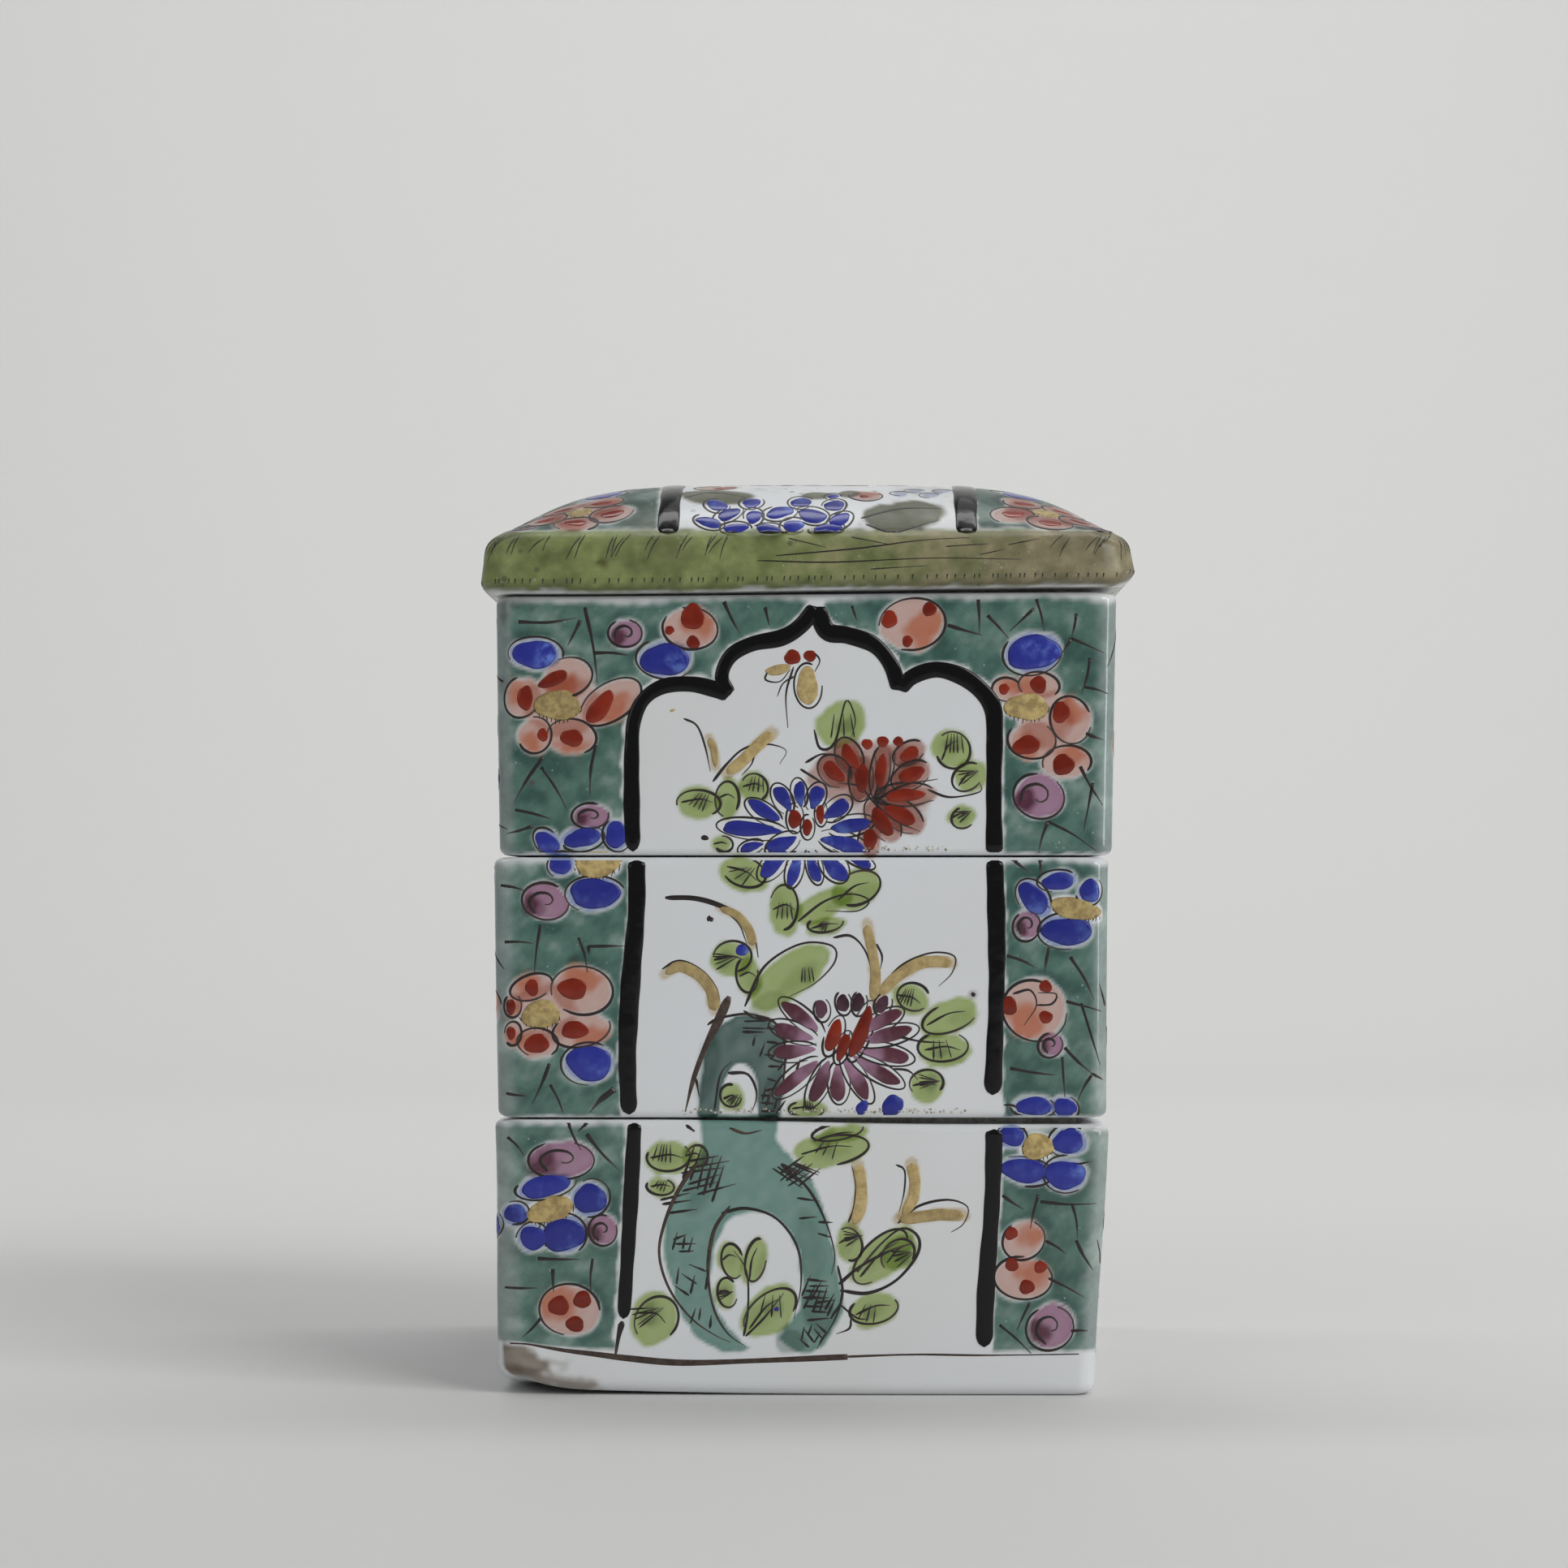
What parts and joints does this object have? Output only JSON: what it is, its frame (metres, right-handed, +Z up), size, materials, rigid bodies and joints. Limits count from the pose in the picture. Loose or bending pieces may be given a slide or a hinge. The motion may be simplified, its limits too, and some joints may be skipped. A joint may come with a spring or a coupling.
{
  "type": "stacking food carrier",
  "caption": "Square stacking porcelain food box of shallow tiers under an overhanging domed lid, painted with enamel flowers and a lobed arch.",
  "frame": {"origin": "centre of the foot's underside, on the surface the box stands on", "axes": "+Z up through the stack, -Y towards the main painted face with the lobed arch and rock, +X to that face's right"},
  "size_m": [0.1044, 0.1044, 0.1489],
  "materials": {
    "glazed_porcelain": "glossy",
    "lid_glaze": "glossy",
    "enamel_black": "glossy",
    "enamel_cobalt": "glossy",
    "enamel_iron_red": "glossy",
    "enamel_gold": "satin",
    "enamel_lime": "glossy",
    "ink_line": "satin"
  },
  "bodies": {
    "lower": {"lower_tier": "glazed_porcelain"},
    "middle": {"middle_tier": "glazed_porcelain"},
    "upper": {"upper_tier": "glazed_porcelain"},
    "lid": {"lid": "lid_glaze"}
  },
  "joints": [
    {"name": "middle_lift", "type": "slide", "parent": "lower", "child": "middle", "axis": [0, 0, 1], "range_m": [0, 0.06]},
    {"name": "upper_lift", "type": "slide", "parent": "middle", "child": "upper", "axis": [0, 0, 1], "range_m": [0, 0.06]},
    {"name": "lid_lift", "type": "slide", "parent": "upper", "child": "lid", "axis": [0, 0, 1], "range_m": [0, 0.06]}
  ]
}
